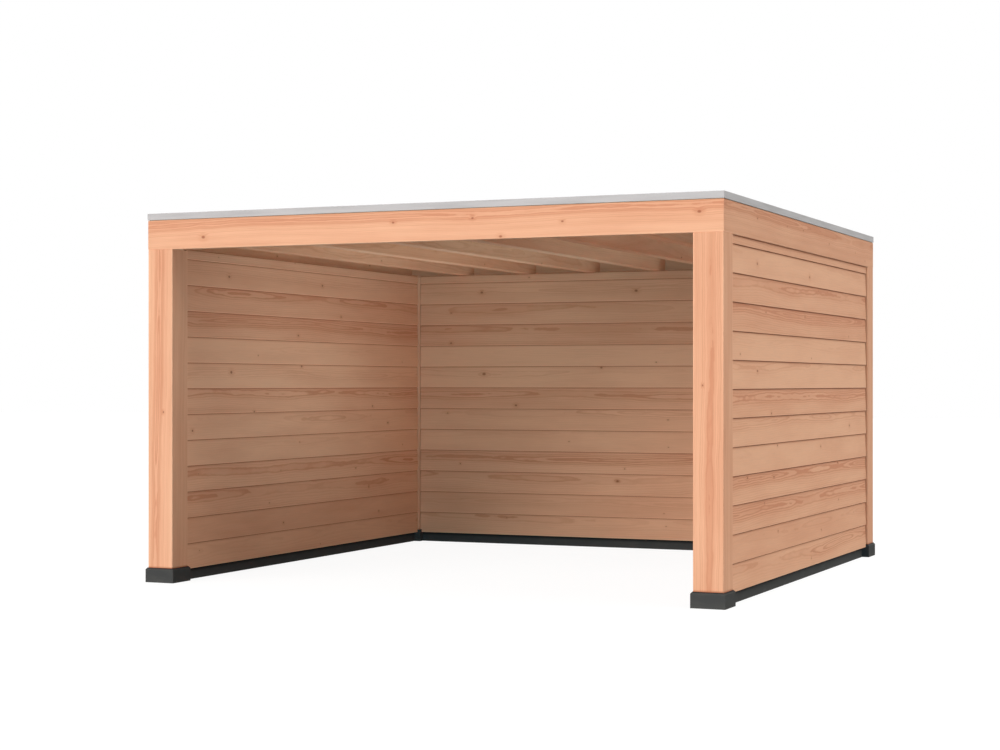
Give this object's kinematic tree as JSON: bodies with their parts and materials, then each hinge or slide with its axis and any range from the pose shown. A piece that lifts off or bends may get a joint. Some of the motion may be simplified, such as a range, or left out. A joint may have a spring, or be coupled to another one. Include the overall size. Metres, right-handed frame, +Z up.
{
  "type": "garden canopy",
  "caption": "Open-fronted timber garden canopy with a flat roof, square posts in shoes, and lapped boards on both faces of its walls.",
  "frame": {"origin": "on the ground at the middle of the plan", "axes": "+Z up, -Y out of the open front, +X to the right as seen from the front"},
  "size_m": [4.026, 4.026, 2.468],
  "materials": {
    "post_timber": "planed, unfinished",
    "beam_timber": "planed, unfinished",
    "board_timber": "planed, unfinished",
    "frame_timber": "sawn",
    "deck_timber": "sawn",
    "dark_plastic": "matt",
    "trim_metal": "satin light grey",
    "roof_rubber": "matt"
  },
  "bodies": {
    "root": {"back_beam": "beam_timber", "back_foundation_beam": "dark_plastic", "back_roof_batten": "frame_timber", "back_roof_trim": "trim_metal", "back_wall_frame": "frame_timber", "back_wall_inner_boards": "board_timber", "back_wall_outer_boards": "board_timber", "front_beam": "beam_timber", "front_left_post": "post_timber", "front_left_shoe": "dark_plastic", "front_right_post": "post_timber", "front_right_shoe": "dark_plastic", "front_roof_batten": "frame_timber", "front_roof_trim": "trim_metal", "left_beam": "beam_timber", "left_foundation_beam": "dark_plastic", "left_roof_batten": "frame_timber", "left_roof_trim": "trim_metal", "left_wall_frame": "frame_timber", "left_wall_inner_boards": "board_timber", "left_wall_outer_boards": "board_timber", "rear_left_post": "post_timber", "rear_left_shoe": "dark_plastic", "rear_right_post": "post_timber", "rear_right_shoe": "dark_plastic", "right_beam": "beam_timber", "right_foundation_beam": "dark_plastic", "right_roof_batten": "frame_timber", "right_roof_trim": "trim_metal", "right_wall_frame": "frame_timber", "right_wall_inner_boards": "board_timber", "right_wall_outer_boards": "board_timber", "roof_deck": "deck_timber", "roof_joist_1": "beam_timber", "roof_joist_2": "beam_timber", "roof_joist_3": "beam_timber", "roof_joist_4": "beam_timber", "roof_joist_5": "beam_timber", "roof_joist_6": "beam_timber", "roof_sheet": "roof_rubber"}
  },
  "joints": []
}
